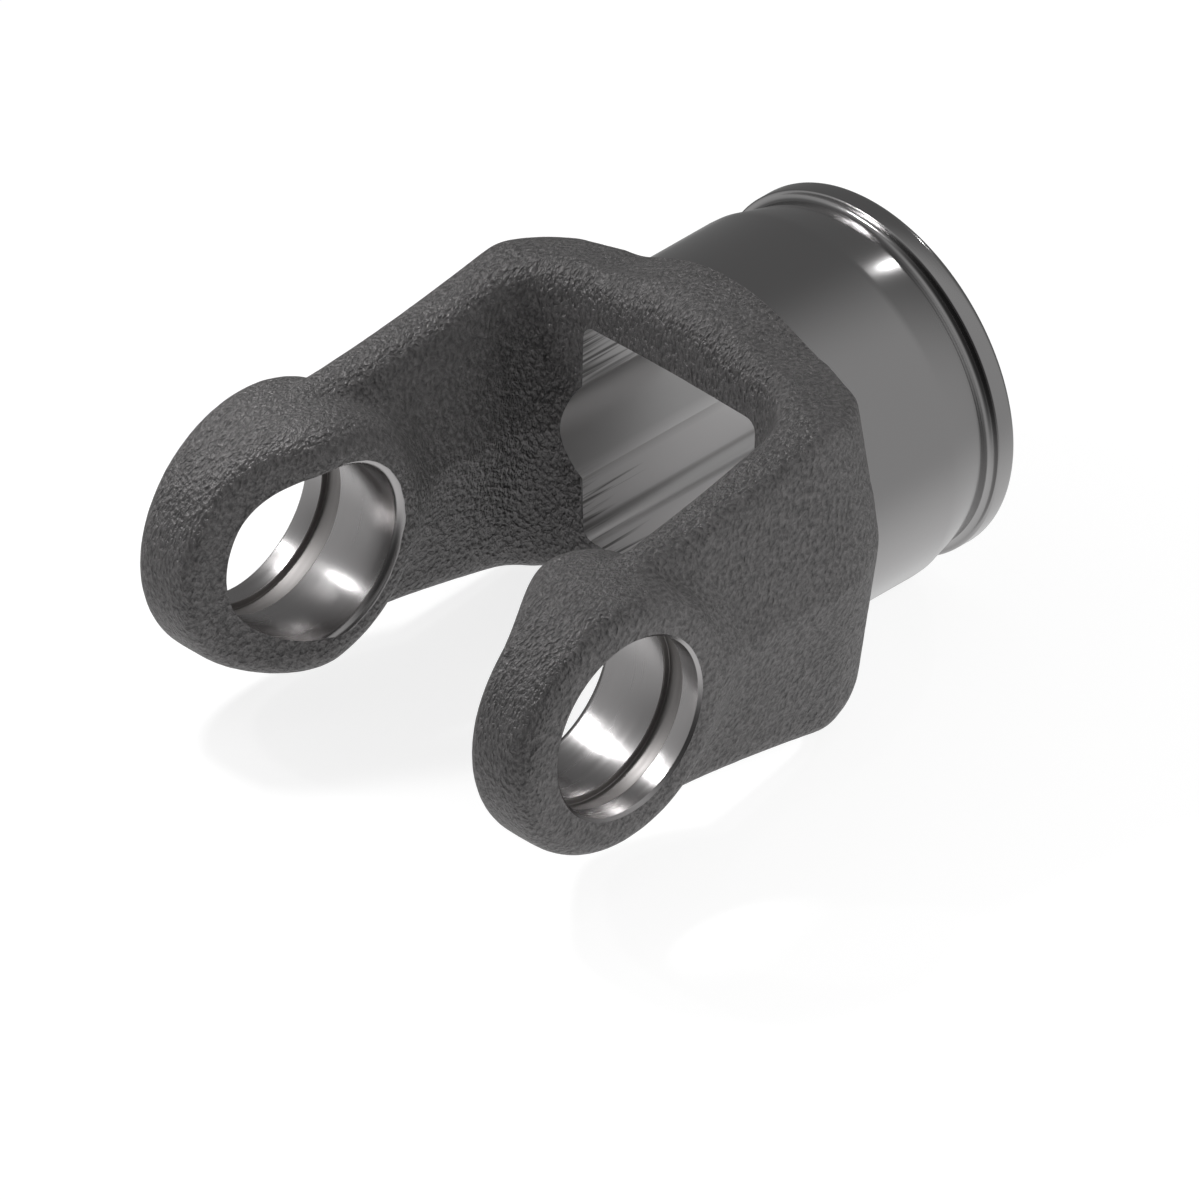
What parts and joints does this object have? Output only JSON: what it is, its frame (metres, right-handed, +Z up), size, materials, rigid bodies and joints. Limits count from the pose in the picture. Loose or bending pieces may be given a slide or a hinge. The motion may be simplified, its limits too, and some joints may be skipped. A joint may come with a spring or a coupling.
{
  "type": "universal joint yoke",
  "caption": "Forged steel joint yoke: a fork with two bored round ears and a turned hub with a groove and a profiled bore.",
  "frame": {"origin": "joint centre: middle of the common axis of both ear bores", "axes": "+X along the driveline towards the hub end, +Y along the ear bores, +Z up"},
  "size_m": [0.0857, 0.062, 0.0456],
  "materials": {
    "yoke": "dark forged skin, bores and hub machined bright"
  },
  "bodies": {
    "root": {"yoke": "yoke"}
  },
  "joints": []
}
